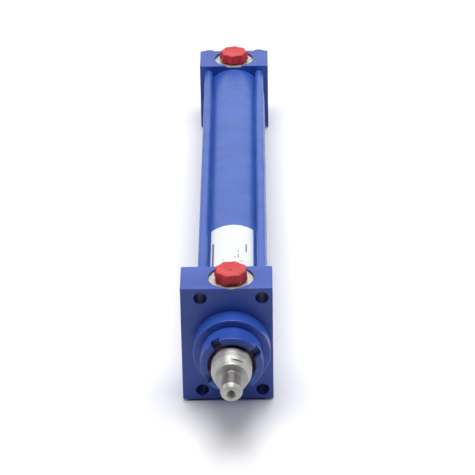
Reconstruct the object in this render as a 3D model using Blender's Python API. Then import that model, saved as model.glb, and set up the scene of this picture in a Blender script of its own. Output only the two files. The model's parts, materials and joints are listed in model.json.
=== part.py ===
"""Hydraulic tie-rod cylinder with a rectangular front head, built as separate pieces.

Metres, +Z up. The origin is the centre of the rear cap's back face, the cylinder's axis is the
Y axis and the rod points along -Y. A turned piece is a list of (distance along the axis, radius)
points, spun round that axis. The rod is drawn fully retracted.
"""

from math import cos, pi, radians, sin

import bmesh
import bpy
from mathutils import Matrix, Vector

# Working sizes of the cylinder
STROKE = 0.250
BORE_RADIUS = 0.016
ROD_RADIUS = 0.011
TUBE_RADIUS = 0.020
TUBE_LENGTH = STROKE + 0.043
GAP = 0.0003

# End blocks
HEAD_LENGTH = 0.025
HEAD_LEFT_X = -0.0275
HEAD_RIGHT_X = 0.0225
HEAD_HALF_HEIGHT = 0.035
CAP_LENGTH = 0.025
CAP_HALF_WIDTH = 0.0225
CENTRE_RING_INNER = 0.0080
CENTRE_RING_OUTER = 0.0088
CENTRE_RING_DEPTH = 0.0004
BLOCK_CHAMFER = 0.0006
BOSS_RADIUS = 0.021
BOSS_LENGTH = 0.010
SPIGOT_RADIUS = BORE_RADIUS - GAP
SPIGOT_LENGTH = 0.008
SPIGOT_EDGE = 0.0005
SPIGOT_ROOT = 0.006
SPIGOT_GROOVE = (0.0026, 0.0056)
SPIGOT_GROOVE_RADIUS = 0.0139
SPIGOT_BORE_RADIUS = 0.0126
CARTRIDGE_BORE_RADIUS = 0.0153
CARTRIDGE_BORE_DEPTH = 0.018

# Screw holes in the head, and the tie rods
MOUNTING_HOLE_RADIUS = 0.0035
MOUNTING_HOLE_X = 0.0166
MOUNTING_HOLE_Z = 0.029
TIE_ROD_OFFSET = 0.0166
TIE_ROD_THREAD_RADIUS = 0.003
TIE_ROD_SHANK_RADIUS = 0.00265
TIE_ROD_HOLE_RADIUS = TIE_ROD_THREAD_RADIUS + GAP
TIE_ROD_HOLE_DEPTH = 0.015
NUT_ACROSS_FLATS = 0.010
NUT_THICKNESS = 0.004
NUT_TURNS = {"top_left": -4.0, "top_right": 3.0, "bottom_left": 14.0, "bottom_right": -9.0}
TIE_ROD_END = 0.007
TIE_ROD_END_CHAMFER = 0.0005
THREAD_RUN_OUT = 0.001

# Ports and their plugs
PORT_THREAD_RADIUS = 0.0066
PORT_DEPTH = 0.0125
HEAD_SPOTFACE_RADIUS = 0.01245
CAP_SPOTFACE_RADIUS = 0.0127
SPOTFACE_DEPTH = 0.0012
OIL_DRILL_RADIUS = 0.0025
OIL_GALLERY_RADIUS = 0.006
PLUG_ACROSS_FLATS = 0.017
PLUG_SIDES = 8
PLUG_HEAD_HEIGHT = 0.0066
PLUG_SEAT_GAP = 0.0014
PLUG_EDGE = 0.0007
PLUG_STEM_RADIUS = 0.0062
PLUG_STEM_LENGTH = 0.010
PLUG_WALL = 0.0016
PLUG_HOLLOW_TOP = 0.0034
PLUG_DISH_RADIUS = 0.0050
PLUG_DISH_DEPTH = 0.0005
FRONT_PLUG_TURN = radians(5.3)
REAR_PLUG_TURN = radians(17.3)

# Gland cartridge, measured from the head's front face, forward is negative
GLAND_RADIUS = 0.017
GLAND_FRONT = -0.022
GLAND_BODY_RADIUS = 0.015
GLAND_NOSE_RADIUS = 0.0126
GLAND_BODY_END = 0.009
GLAND_END = 0.017
GLAND_ROD_RADIUS = ROD_RADIUS + GAP
MOUTH_RADIUS = 0.0128
MOUTH_END = -0.0155
ROD_SEAL_GROOVE = (-0.0108, -0.0060)
ROD_SEAL_GROOVE_RADIUS = 0.0139
BUSH_GROOVE = (-0.0040, 0.0030)
BUSH_GROOVE_RADIUS = 0.0128
GLAND_GROOVE = (0.0045, 0.0080)
GLAND_GROOVE_RADIUS = 0.0133
SLOT_WIDTH = 0.0054
SLOT_DEPTH = 0.0035
SLOT_INNER = 0.0120
SLOT_OUTER = 0.0185
SLOT_FIRST_ANGLE = radians(31.5)

# Wiper and seals, from the same face
WIPER_RADIUS = MOUTH_RADIUS - GAP
WIPER_THROAT_RADIUS = 0.0116
WIPER_LIP_RADIUS = ROD_RADIUS + GAP
WIPER_BODY = (-0.0204, -0.0158)
WIPER_LIP = (-0.0214, -0.0208)
WIPER_THROAT_START = -0.0188
WIPER_EDGE = 0.0006
ROD_SEAL_RADIUS = 0.0123
ENERGIZER_RADIUS = 0.0131
ENERGIZER_THICKNESS = 0.0005
GLAND_O_RING = (0.0056, 0.0143, 0.0007)
BACKUP_RING = (0.0066, 0.0077, 0.0136)
TUBE_O_RING = (0.0041, 0.0149, 0.0007)

# Rod end, measured from the rod's shoulder
ROD_SHOULDER_FROM_HEAD = 0.035
ROD_THREAD_RADIUS = 0.006
ROD_THREAD_LENGTH = 0.0155
ROD_RELIEF_RADIUS = 0.005
ROD_RELIEF_LENGTH = 0.0018
ROD_NECK_RADIUS = 0.0090
ROD_TAPER_LENGTH = 0.0065
ROD_FLATS_ACROSS = 0.0190
ROD_FLATS_LENGTH = 0.0037
ROD_FLATS_TILT = radians(19.0)
ROD_SPIGOT_RADIUS = 0.007
ROD_SPIGOT_LENGTH = 0.012
ROD_GROOVE = (0.004, 0.007)
ROD_GROOVE_RADIUS = 0.0054
ROD_END_FACE_RADIUS = 0.0042
ROD_END_CONE_LENGTH = 0.0026
ROD_END_REAR_CHAMFER = 0.0008
RELIEF_SLOPE = 0.0006
CENTRE_HOLE_MOUTH = 0.0024
CENTRE_HOLE_RADIUS = 0.0010
CENTRE_HOLE_CONE = 0.0024
CENTRE_HOLE_DRILL = 0.0044
CENTRE_HOLE_DEPTH = 0.0050

# Piston
PISTON_RADIUS = BORE_RADIUS - 0.0004
PISTON_LENGTH = 0.024
PISTON_REST_GAP = 0.001
PISTON_BORE_RADIUS = ROD_SPIGOT_RADIUS + GAP
PISTON_POCKET_RADIUS = 0.0115
PISTON_POCKET_DEPTH = 0.008
PISTON_NUT_ACROSS_FLATS = 0.019
PISTON_NUT_THICKNESS = 0.007
PISTON_EDGE = 0.0006
WEAR_GROOVES = {"front": (0.002, 0.006), "rear": (0.018, 0.022)}
WEAR_GROOVE_RADIUS = 0.0139
SEAL_GROOVE = (0.009, 0.015)
SEAL_GROOVE_RADIUS = 0.0122
PISTON_RING_INNER = 0.0142
PISTON_RING_RADIUS = BORE_RADIUS - GAP
PISTON_O_RING = (0.0052, 0.00635, 0.0006)
PISTON_ENERGIZER = (0.012, 0.0132, 0.0007)

# Type label on top of the tube
LABEL_START = 0.038
LABEL_LENGTH = 0.0625
LABEL_HALF_ANGLE = radians(37.0)
LABEL_STEPS = 8
LABEL_INNER_RADIUS = TUBE_RADIUS + 0.0002
LABEL_THICKNESS = 0.0002

# Stations along the axis, worked out from the sizes above
CAP_FRONT_Y = -CAP_LENGTH
HEAD_REAR_Y = CAP_FRONT_Y - TUBE_LENGTH
HEAD_FRONT_Y = HEAD_REAR_Y - HEAD_LENGTH
ROD_SHOULDER_Y = HEAD_FRONT_Y - ROD_SHOULDER_FROM_HEAD
PISTON_FRONT_Y = CAP_FRONT_Y - SPIGOT_LENGTH - PISTON_REST_GAP - PISTON_LENGTH
HEAD_PORT_Y = HEAD_FRONT_Y + HEAD_LENGTH / 2
CAP_PORT_Y = -0.0132

# Number of flat sides that stand for a round shape
ROUND = 32
SMALL_ROUND = 24
TINY_ROUND = 16
RING_SECTION = 6


def clear_scene():
    for old in list(bpy.data.objects):
        bpy.data.objects.remove(old, do_unlink=True)


def finish(name, colour, roughness, metallic):
    """A plain surface finish: one Principled BSDF."""
    made = bpy.data.materials.new(name)
    made.use_nodes = True
    shader = made.node_tree.nodes["Principled BSDF"]
    shader.inputs["Base Color"].default_value = (*colour, 1.0)
    shader.inputs["Roughness"].default_value = roughness
    shader.inputs["Metallic"].default_value = metallic
    made.diffuse_color = (*colour, 1.0)
    return made


def empty(name, location, parent=None):
    made = bpy.data.objects.new(name, None)
    made.location = location
    made.parent = parent
    bpy.context.collection.objects.link(made)
    return made


def add(name, mesh_data, coat, parent, location=(0.0, 0.0, 0.0)):
    """Turns a bmesh into an object with its faces pointing out."""
    bmesh.ops.recalc_face_normals(mesh_data, faces=mesh_data.faces)
    mesh = bpy.data.meshes.new(name)
    mesh_data.to_mesh(mesh)
    mesh_data.free()
    mesh.shade_smooth()
    mesh.set_sharp_from_angle(angle=radians(30))
    if coat is not None:
        mesh.materials.append(coat)
    made = bpy.data.objects.new(name, mesh)
    made.parent = parent
    made.location = location
    bpy.context.collection.objects.link(made)
    return made


def boolean(target, other, operation):
    """Adds a Boolean modifier, and hides the other shape."""
    other.hide_render = True
    other.display_type = "WIRE"
    modifier = target.modifiers.new(f"{operation.lower()}_{other.name}", "BOOLEAN")
    modifier.operation = operation
    modifier.solver = "EXACT"
    modifier.object = other


def spun(mesh_data, profile, axis, segments):
    """Spins a closed profile of (distance along the axis, radius) points. The first ray is +X."""
    along = Vector(axis)
    points = [mesh_data.verts.new(along * place + Vector((radius, 0, 0))) for place, radius in profile]
    edges = [mesh_data.edges.new((a, b)) for a, b in zip(points, points[1:])]
    if profile[0][1] > 0:
        edges.append(mesh_data.edges.new((points[-1], points[0])))
    bmesh.ops.spin(
        mesh_data,
        geom=points + edges,
        cent=(0, 0, 0),
        axis=along,
        angle=2 * pi,
        steps=segments,
        use_merge=True,
    )
    bmesh.ops.remove_doubles(mesh_data, verts=mesh_data.verts, dist=1e-6)


def turned(name, profile, coat, parent, location=(0.0, 0.0, 0.0), axis=(0, 1, 0), segments=ROUND):
    """A turned piece or cutter."""
    mesh_data = bmesh.new()
    spun(mesh_data, profile, axis, segments)
    return add(name, mesh_data, coat, parent, location)


def seal_ring(name, profile, coat, parent, location=(0.0, 0.0, 0.0)):
    """A turned piece that the others hide, with fewer sides."""
    return turned(name, profile, coat, parent, location, segments=SMALL_ROUND)


def bar(start, end, radius):
    """Profile of a plain round bar."""
    return [(start, 0), (start, radius), (end, radius), (end, 0)]


def ring(start, end, inner, outer):
    """Profile of a ring with a rectangular section."""
    return [(start, inner), (start, outer), (end, outer), (end, inner)]


def o_ring(middle, radius, thickness_radius):
    """Profile of a ring with a round section."""
    turns = [2 * pi * step / RING_SECTION for step in range(RING_SECTION)]
    return [(middle + thickness_radius * sin(a), radius + thickness_radius * cos(a)) for a in turns]


def block(name, low, high, coat, parent, chamfer=0.0):
    mesh_data = bmesh.new()
    size = Vector(high) - Vector(low)
    middle = (Vector(high) + Vector(low)) / 2
    shape = Matrix.Translation(middle) @ Matrix.Diagonal((*size, 1))
    bmesh.ops.create_cube(mesh_data, size=1.0, matrix=shape)
    made = add(name, mesh_data, coat, parent)
    if chamfer:
        bevel = made.modifiers.new("chamfer", "BEVEL")
        bevel.width = chamfer
        bevel.segments = 1
    return made


def prism(mesh_data, sides, across_flats, start, end, axis, turn):
    """A bar with flat sides along an axis; turn rotates its first corner about that axis from +X."""
    along = Vector(axis)
    first = Vector((across_flats / 2 / cos(pi / sides), 0, 0))
    ends = []
    for place in (start, end):
        ring_points = []
        for step in range(sides):
            corner = Matrix.Rotation(turn + 2 * pi * step / sides, 3, along) @ first
            ring_points.append(mesh_data.verts.new(corner + along * place))
        ends.append(ring_points)
    mesh_data.faces.new(ends[0])
    mesh_data.faces.new(ends[1])
    for step in range(sides):
        after = (step + 1) % sides
        mesh_data.faces.new((ends[0][step], ends[0][after], ends[1][after], ends[1][step]))


def holes(name, places, start, end, radius, parent, segments):
    """Several separate round cutters along the axis, in one object."""
    mesh_data = bmesh.new()
    for x, z in places:
        one = bmesh.new()
        spun(one, bar(start, end, radius), (0, 1, 0), segments)
        bmesh.ops.translate(one, verts=one.verts, vec=(x, 0, z))
        loose = bpy.data.meshes.new("hole")
        one.to_mesh(loose)
        one.free()
        mesh_data.from_mesh(loose)
        bpy.data.meshes.remove(loose)
    return add(name, mesh_data, None, parent)


def corners(x, z):
    """The four places at plus and minus x and z, with the name of each."""
    return {
        "top_left": (-x, z),
        "top_right": (x, z),
        "bottom_left": (-x, -z),
        "bottom_right": (x, -z),
    }


def spigot_profile(face, direction):
    """Round spigot that locates the tube, with the groove of its O-ring. It starts inside the block."""
    groove_start, groove_end = SPIGOT_GROOVE
    steps = [
        (-SPIGOT_ROOT, 0.0),
        (-SPIGOT_ROOT, SPIGOT_RADIUS),
        (groove_start, SPIGOT_RADIUS),
        (groove_start, SPIGOT_GROOVE_RADIUS),
        (groove_end, SPIGOT_GROOVE_RADIUS),
        (groove_end, SPIGOT_RADIUS),
        (SPIGOT_LENGTH - SPIGOT_EDGE, SPIGOT_RADIUS),
        (SPIGOT_LENGTH, SPIGOT_RADIUS - SPIGOT_EDGE),
        (SPIGOT_LENGTH, 0.0),
    ]
    return [(face + direction * place, radius) for place, radius in steps]


def port_profile(surface, drill_end, spotface_radius):
    """Spotface, threaded port and oil drilling, from the bottom up."""
    floor = surface - SPOTFACE_DEPTH
    above = surface + 0.001
    return [
        (drill_end, 0.0),
        (drill_end, OIL_DRILL_RADIUS),
        (floor - PORT_DEPTH, OIL_DRILL_RADIUS),
        (floor - PORT_DEPTH, PORT_THREAD_RADIUS),
        (floor, PORT_THREAD_RADIUS),
        (floor, spotface_radius),
        (above, spotface_radius),
        (above, 0.0),
    ]


def make_head(coat, parent):
    """Front block. Its local Y is measured from its front face."""
    head = block(
        "head",
        (HEAD_LEFT_X, 0, -HEAD_HALF_HEIGHT),
        (HEAD_RIGHT_X, HEAD_LENGTH, HEAD_HALF_HEIGHT),
        coat,
        parent,
        BLOCK_CHAMFER,
    )
    boss = [
        (-BOSS_LENGTH, 0.0),
        (-BOSS_LENGTH, BOSS_RADIUS - BLOCK_CHAMFER),
        (BLOCK_CHAMFER - BOSS_LENGTH, BOSS_RADIUS),
        (0.005, BOSS_RADIUS),
        (0.005, 0.0),
    ]
    boolean(head, turned("head_boss", boss, coat, parent), "UNION")
    spigot = spigot_profile(HEAD_LENGTH, 1)
    boolean(head, turned("head_spigot", spigot, coat, parent), "UNION")
    bore = [
        (-BOSS_LENGTH - 0.001, 0.0),
        (-BOSS_LENGTH - 0.001, CARTRIDGE_BORE_RADIUS),
        (CARTRIDGE_BORE_DEPTH, CARTRIDGE_BORE_RADIUS),
        (CARTRIDGE_BORE_DEPTH, SPIGOT_BORE_RADIUS),
        (HEAD_LENGTH + SPIGOT_LENGTH + 0.001, SPIGOT_BORE_RADIUS),
        (HEAD_LENGTH + SPIGOT_LENGTH + 0.001, 0.0),
    ]
    boolean(head, turned("head_bore", bore, None, parent), "DIFFERENCE")
    port = port_profile(HEAD_HALF_HEIGHT, CARTRIDGE_BORE_RADIUS - 0.0013, HEAD_SPOTFACE_RADIUS)
    port_place = (0, HEAD_PORT_Y - HEAD_FRONT_Y, 0)
    boolean(head, turned("head_port", port, None, parent, port_place, (0, 0, 1)), "DIFFERENCE")
    places = corners(MOUNTING_HOLE_X, MOUNTING_HOLE_Z).values()
    through = (-0.001, HEAD_LENGTH + 0.001, MOUNTING_HOLE_RADIUS)
    boolean(head, holes("mounting_holes", places, *through, parent, SMALL_ROUND), "DIFFERENCE")
    places = corners(TIE_ROD_OFFSET, TIE_ROD_OFFSET).values()
    blind = (HEAD_LENGTH - TIE_ROD_HOLE_DEPTH, HEAD_LENGTH + 0.001, TIE_ROD_HOLE_RADIUS)
    boolean(head, holes("head_tie_rod_holes", places, *blind, parent, TINY_ROUND), "DIFFERENCE")


def make_cap(coat, parent):
    """Rear block, in the object's own frame."""
    cap = block(
        "cap",
        (-CAP_HALF_WIDTH, CAP_FRONT_Y, -CAP_HALF_WIDTH),
        (CAP_HALF_WIDTH, 0, CAP_HALF_WIDTH),
        coat,
        parent,
        BLOCK_CHAMFER,
    )
    spigot = spigot_profile(CAP_FRONT_Y, -1)
    boolean(cap, turned("cap_spigot", spigot, coat, parent), "UNION")
    gallery = bar(CAP_FRONT_Y - SPIGOT_LENGTH - 0.001, CAP_PORT_Y + OIL_GALLERY_RADIUS, OIL_GALLERY_RADIUS)
    boolean(cap, turned("cap_gallery", gallery, None, parent, segments=SMALL_ROUND), "DIFFERENCE")
    port = port_profile(CAP_HALF_WIDTH, 0.0, CAP_SPOTFACE_RADIUS)
    boolean(cap, turned("cap_port", port, None, parent, (0, CAP_PORT_Y, 0), (0, 0, 1)), "DIFFERENCE")
    centre_ring = ring(-CENTRE_RING_DEPTH, 0.001, CENTRE_RING_INNER, CENTRE_RING_OUTER)
    boolean(cap, turned("cap_centre_ring", centre_ring, None, parent, segments=SMALL_ROUND), "DIFFERENCE")
    places = corners(TIE_ROD_OFFSET, TIE_ROD_OFFSET).values()
    through = (CAP_FRONT_Y - 0.001, 0.001, TIE_ROD_HOLE_RADIUS)
    boolean(cap, holes("cap_tie_rod_holes", places, *through, parent, TINY_ROUND), "DIFFERENCE")


def make_tube(coat, parent):
    wall = ring(HEAD_REAR_Y + GAP, CAP_FRONT_Y - GAP, BORE_RADIUS, TUBE_RADIUS)
    turned("tube", wall, coat, parent)


def make_label(coat, parent):
    """A thin sheet bent round the top of the tube."""
    mesh_data = bmesh.new()
    start = HEAD_FRONT_Y + LABEL_START
    ends = []
    for y in (start, start + LABEL_LENGTH):
        for radius in (LABEL_INNER_RADIUS, LABEL_INNER_RADIUS + LABEL_THICKNESS):
            row = []
            for step in range(LABEL_STEPS + 1):
                angle = LABEL_HALF_ANGLE * (2 * step / LABEL_STEPS - 1)
                row.append(mesh_data.verts.new((radius * sin(angle), y, radius * cos(angle))))
            ends.append(row)
    front_inner, front_outer, rear_inner, rear_outer = ends
    loops = [front_inner, front_outer, rear_outer, rear_inner]
    for first, second in zip(loops, loops[1:] + loops[:1]):
        for step in range(LABEL_STEPS):
            mesh_data.faces.new((first[step], first[step + 1], second[step + 1], second[step]))
    for side in (0, -1):
        mesh_data.faces.new([row[side] for row in loops])
    add("type_label", mesh_data, coat, parent)


def tie_rod_profile():
    """Threaded ends on a slightly thinner rolled shank, along the object's Y."""
    front = HEAD_REAR_Y - TIE_ROD_HOLE_DEPTH + GAP
    chamfer = TIE_ROD_END_CHAMFER
    thread = TIE_ROD_THREAD_RADIUS
    return [
        (front, 0.0),
        (front, thread - chamfer),
        (front + chamfer, thread),
        (HEAD_REAR_Y - THREAD_RUN_OUT, thread),
        (HEAD_REAR_Y - THREAD_RUN_OUT / 2, TIE_ROD_SHANK_RADIUS),
        (CAP_FRONT_Y + THREAD_RUN_OUT / 2, TIE_ROD_SHANK_RADIUS),
        (CAP_FRONT_Y + THREAD_RUN_OUT, thread),
        (TIE_ROD_END - chamfer, thread),
        (TIE_ROD_END, thread - chamfer),
        (TIE_ROD_END, 0.0),
    ]


def make_tie_rods(coat, parent):
    profile = tie_rod_profile()
    for corner, (x, z) in corners(TIE_ROD_OFFSET, TIE_ROD_OFFSET).items():
        turned(f"tie_rod_{corner}", profile, coat, parent, (x, 0, z), segments=TINY_ROUND)


def nut(name, across_flats, thickness, hole_radius, turn, coat, parent, location):
    """A six-sided nut along Y, with its bored hole."""
    mesh_data = bmesh.new()
    prism(mesh_data, 6, across_flats, 0, thickness, (0, 1, 0), turn)
    made = add(name, mesh_data, coat, parent, location)
    bore = bar(-0.001, thickness + 0.001, hole_radius)
    cutter = turned(f"{name}_bore", bore, None, parent, location, segments=TINY_ROUND)
    boolean(made, cutter, "DIFFERENCE")


def make_tie_rod_nuts(coat, parent):
    for corner, (x, z) in corners(TIE_ROD_OFFSET, TIE_ROD_OFFSET).items():
        size = (NUT_ACROSS_FLATS, NUT_THICKNESS, TIE_ROD_HOLE_RADIUS)
        turn = radians(NUT_TURNS[corner])
        nut(f"tie_rod_nut_{corner}", *size, turn, coat, parent, (x, GAP, z))


def gland_profile():
    """Outer side from front to rear, then the bore with its seal and bush grooves back to the front."""
    groove_start, groove_end = GLAND_GROOVE
    seal_start, seal_end = ROD_SEAL_GROOVE
    bush_start, bush_end = BUSH_GROOVE
    nose = GLAND_NOSE_RADIUS - GAP
    outside = [
        (GLAND_FRONT, MOUTH_RADIUS),
        (GLAND_FRONT, GLAND_RADIUS - BLOCK_CHAMFER),
        (GLAND_FRONT + BLOCK_CHAMFER, GLAND_RADIUS),
        (-BOSS_LENGTH - GAP, GLAND_RADIUS),
        (-BOSS_LENGTH - GAP, GLAND_BODY_RADIUS),
        (groove_start, GLAND_BODY_RADIUS),
        (groove_start, GLAND_GROOVE_RADIUS),
        (groove_end, GLAND_GROOVE_RADIUS),
        (groove_end, GLAND_BODY_RADIUS),
        (GLAND_BODY_END, GLAND_BODY_RADIUS),
        (GLAND_BODY_END, nose),
        (GLAND_END, nose),
    ]
    inside = [
        (GLAND_END, GLAND_ROD_RADIUS),
        (bush_end, GLAND_ROD_RADIUS),
        (bush_end, BUSH_GROOVE_RADIUS),
        (bush_start, BUSH_GROOVE_RADIUS),
        (bush_start, GLAND_ROD_RADIUS),
        (seal_end, GLAND_ROD_RADIUS),
        (seal_end, ROD_SEAL_GROOVE_RADIUS),
        (seal_start, ROD_SEAL_GROOVE_RADIUS),
        (seal_start, GLAND_ROD_RADIUS),
        (MOUTH_END, GLAND_ROD_RADIUS),
        (MOUTH_END, MOUTH_RADIUS),
    ]
    return outside + inside


def make_gland(coat, parent):
    """Cartridge that carries the rod's bush and seals, with four spanner slots in its rim."""
    gland = turned("gland", gland_profile(), coat, parent)
    mesh_data = bmesh.new()
    for step in range(4):
        low = Vector((SLOT_INNER, GLAND_FRONT - 0.001, -SLOT_WIDTH / 2))
        high = Vector((SLOT_OUTER, GLAND_FRONT + SLOT_DEPTH, SLOT_WIDTH / 2))
        place = Matrix.Rotation(-SLOT_FIRST_ANGLE - step * pi / 2, 4, (0, 1, 0))
        shape = Matrix.Translation((low + high) / 2) @ Matrix.Diagonal((*(high - low), 1))
        bmesh.ops.create_cube(mesh_data, size=1.0, matrix=place @ shape)
    boolean(gland, add("gland_slots", mesh_data, None, parent), "DIFFERENCE")


def make_gland_seals(rubber, hard_seal, bronze, parent):
    """Pieces that sit in the gland's grooves, each clear of the walls round it."""
    body_front, body_rear = WIPER_BODY
    lip_front, lip_rear = WIPER_LIP
    wiper = [
        (body_rear, WIPER_THROAT_RADIUS),
        (body_rear, WIPER_RADIUS),
        (body_front + WIPER_EDGE, WIPER_RADIUS),
        (body_front, WIPER_RADIUS - WIPER_EDGE),
        (lip_front, WIPER_LIP_RADIUS),
        (lip_rear, WIPER_LIP_RADIUS),
        (WIPER_THROAT_START, WIPER_THROAT_RADIUS),
    ]
    turned("rod_wiper", wiper, rubber, parent)
    seal_start, seal_end = ROD_SEAL_GROOVE
    seal = ring(seal_start + GAP, seal_end - GAP, WIPER_LIP_RADIUS, ROD_SEAL_RADIUS)
    seal_ring("rod_seal", seal, hard_seal, parent)
    energizer = o_ring((seal_start + seal_end) / 2, ENERGIZER_RADIUS, ENERGIZER_THICKNESS)
    seal_ring("rod_seal_energizer", energizer, rubber, parent)
    bush_start, bush_end = BUSH_GROOVE
    bush = ring(bush_start + GAP, bush_end - GAP, WIPER_LIP_RADIUS, BUSH_GROOVE_RADIUS - GAP)
    seal_ring("rod_guide_bush", bush, bronze, parent)
    seal_ring("gland_o_ring", o_ring(*GLAND_O_RING), rubber, parent)
    seal_ring("gland_backup_ring", ring(*BACKUP_RING, GLAND_BODY_RADIUS), hard_seal, parent)


def make_tube_o_rings(coat, parent):
    middle, radius, thickness = TUBE_O_RING
    seal_ring("tube_o_ring_front", o_ring(HEAD_REAR_Y + middle, radius, thickness), coat, parent)
    seal_ring("tube_o_ring_rear", o_ring(CAP_FRONT_Y - middle, radius, thickness), coat, parent)


def rod_profile():
    """From the bottom of the centre hole in the threaded end to the rear end, from the shoulder."""
    tip = -ROD_THREAD_LENGTH
    to_piston = PISTON_FRONT_Y - ROD_SHOULDER_Y - GAP
    groove_start, groove_end = (to_piston + place for place in ROD_GROOVE)
    thread_start = to_piston + ROD_SPIGOT_LENGTH
    rear = to_piston + PISTON_LENGTH - 0.001
    return [
        (tip + CENTRE_HOLE_DEPTH, 0.0),
        (tip + CENTRE_HOLE_DRILL, CENTRE_HOLE_RADIUS),
        (tip + CENTRE_HOLE_CONE, CENTRE_HOLE_RADIUS),
        (tip, CENTRE_HOLE_MOUTH),
        (tip, ROD_END_FACE_RADIUS),
        (tip + ROD_END_CONE_LENGTH, ROD_THREAD_RADIUS),
        (-ROD_RELIEF_LENGTH - RELIEF_SLOPE, ROD_THREAD_RADIUS),
        (-ROD_RELIEF_LENGTH, ROD_RELIEF_RADIUS),
        (0.0, ROD_RELIEF_RADIUS),
        (0.0, ROD_NECK_RADIUS),
        (ROD_TAPER_LENGTH, ROD_RADIUS),
        (to_piston, ROD_RADIUS),
        (to_piston, ROD_SPIGOT_RADIUS),
        (groove_start, ROD_SPIGOT_RADIUS),
        (groove_start, ROD_GROOVE_RADIUS),
        (groove_end, ROD_GROOVE_RADIUS),
        (groove_end, ROD_SPIGOT_RADIUS),
        (thread_start, ROD_SPIGOT_RADIUS),
        (thread_start, ROD_THREAD_RADIUS),
        (rear - ROD_END_REAR_CHAMFER, ROD_THREAD_RADIUS),
        (rear, ROD_THREAD_RADIUS - ROD_END_REAR_CHAMFER),
        (rear, 0.0),
    ]


def make_piston_rod(coat, parent):
    """Rod with its neck, two spanner flats and threaded end. Its local Y starts at the shoulder."""
    rod = turned("piston_rod", rod_profile(), coat, parent)
    mesh_data = bmesh.new()
    for side in (1, -1):
        inner = side * ROD_FLATS_ACROSS / 2
        outer = side * (ROD_RADIUS + 0.001)
        middle = Vector((0, ROD_FLATS_LENGTH / 2 - 0.0005, (inner + outer) / 2))
        size = Vector((0.03, ROD_FLATS_LENGTH + 0.001, abs(outer - inner)))
        place = Matrix.Rotation(ROD_FLATS_TILT, 4, (0, 1, 0))
        shape = Matrix.Translation(middle) @ Matrix.Diagonal((*size, 1))
        bmesh.ops.create_cube(mesh_data, size=1.0, matrix=place @ shape)
    boolean(rod, add("rod_flats", mesh_data, None, parent), "DIFFERENCE")


def piston_profile():
    """Outer side with its three grooves, then the nut's pocket and the bore. Local Y is from its front."""
    pocket = PISTON_LENGTH - PISTON_POCKET_DEPTH
    rows = [(0.0, PISTON_BORE_RADIUS), (0.0, PISTON_RADIUS - PISTON_EDGE), (PISTON_EDGE, PISTON_RADIUS)]
    grooves = (
        (WEAR_GROOVES["front"], WEAR_GROOVE_RADIUS),
        (SEAL_GROOVE, SEAL_GROOVE_RADIUS),
        (WEAR_GROOVES["rear"], WEAR_GROOVE_RADIUS),
    )
    for (start, end), radius in grooves:
        rows += [(start, PISTON_RADIUS), (start, radius), (end, radius), (end, PISTON_RADIUS)]
    return rows + [
        (PISTON_LENGTH - PISTON_EDGE, PISTON_RADIUS),
        (PISTON_LENGTH, PISTON_RADIUS - PISTON_EDGE),
        (PISTON_LENGTH, PISTON_POCKET_RADIUS),
        (pocket, PISTON_POCKET_RADIUS),
        (pocket, PISTON_BORE_RADIUS),
    ]


def make_piston(steel, bronze, hard_seal, rubber, turning, sliding):
    """The piston, its nut and inner O-ring turn with the rod; the rings on its outside only slide."""
    start = PISTON_FRONT_Y - ROD_SHOULDER_Y
    place = (0, start, 0)
    seal_ring("piston", piston_profile(), steel, turning, place)
    nut_place = (0, start + PISTON_LENGTH - PISTON_POCKET_DEPTH + GAP, 0)
    size = (PISTON_NUT_ACROSS_FLATS, PISTON_NUT_THICKNESS, ROD_THREAD_RADIUS + GAP)
    nut("piston_nut", *size, 0, steel, turning, nut_place)
    seal_ring("piston_o_ring", o_ring(*PISTON_O_RING), rubber, turning, place)
    for end, (groove_start, groove_end) in WEAR_GROOVES.items():
        section = ring(groove_start + GAP, groove_end - GAP, PISTON_RING_INNER, PISTON_RING_RADIUS)
        seal_ring(f"piston_wear_ring_{end}", section, bronze, sliding, place)
    seal_start, seal_end = SEAL_GROOVE
    seal = ring(seal_start + GAP, seal_end - GAP, PISTON_RING_INNER, PISTON_RING_RADIUS)
    seal_ring("piston_seal", seal, hard_seal, sliding, place)
    seal_ring("piston_seal_energizer", o_ring(*PISTON_ENERGIZER), rubber, sliding, place)


def upright(name, profile, coat, parent):
    """A small turned shape whose axis is the local Z."""
    return turned(name, profile, coat, parent, axis=(0, 0, 1), segments=SMALL_ROUND)


def make_plug(name, turn, coat, parent):
    """Eight-sided plug with a dish on top and a hollow stem in the port. Local Z is from the spotface."""
    mesh_data = bmesh.new()
    size = (PLUG_ACROSS_FLATS, PLUG_SEAT_GAP, PLUG_HEAD_HEIGHT)
    prism(mesh_data, PLUG_SIDES, *size, (0, 0, 1), turn + pi / PLUG_SIDES - pi / 2)
    plug = add(name, mesh_data, coat, parent)
    soften = plug.modifiers.new("soft_edges", "BEVEL")
    soften.width = PLUG_EDGE
    soften.segments = 2
    stem = bar(-PLUG_STEM_LENGTH, PLUG_SEAT_GAP + 0.002, PLUG_STEM_RADIUS)
    boolean(plug, upright(f"{name}_stem", stem, coat, parent), "UNION")
    top = PLUG_HEAD_HEIGHT
    dish = [
        (top - PLUG_DISH_DEPTH, 0.0),
        (top - PLUG_DISH_DEPTH * 0.75, PLUG_DISH_RADIUS * 0.5),
        (top, PLUG_DISH_RADIUS),
        (top + 0.001, PLUG_DISH_RADIUS + 0.001),
        (top + 0.001, 0.0),
    ]
    boolean(plug, upright(f"{name}_dish", dish, None, parent), "DIFFERENCE")
    hollow = bar(-PLUG_STEM_LENGTH - 0.001, PLUG_HOLLOW_TOP, PLUG_STEM_RADIUS - PLUG_WALL)
    boolean(plug, upright(f"{name}_hollow", hollow, None, parent), "DIFFERENCE")


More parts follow.
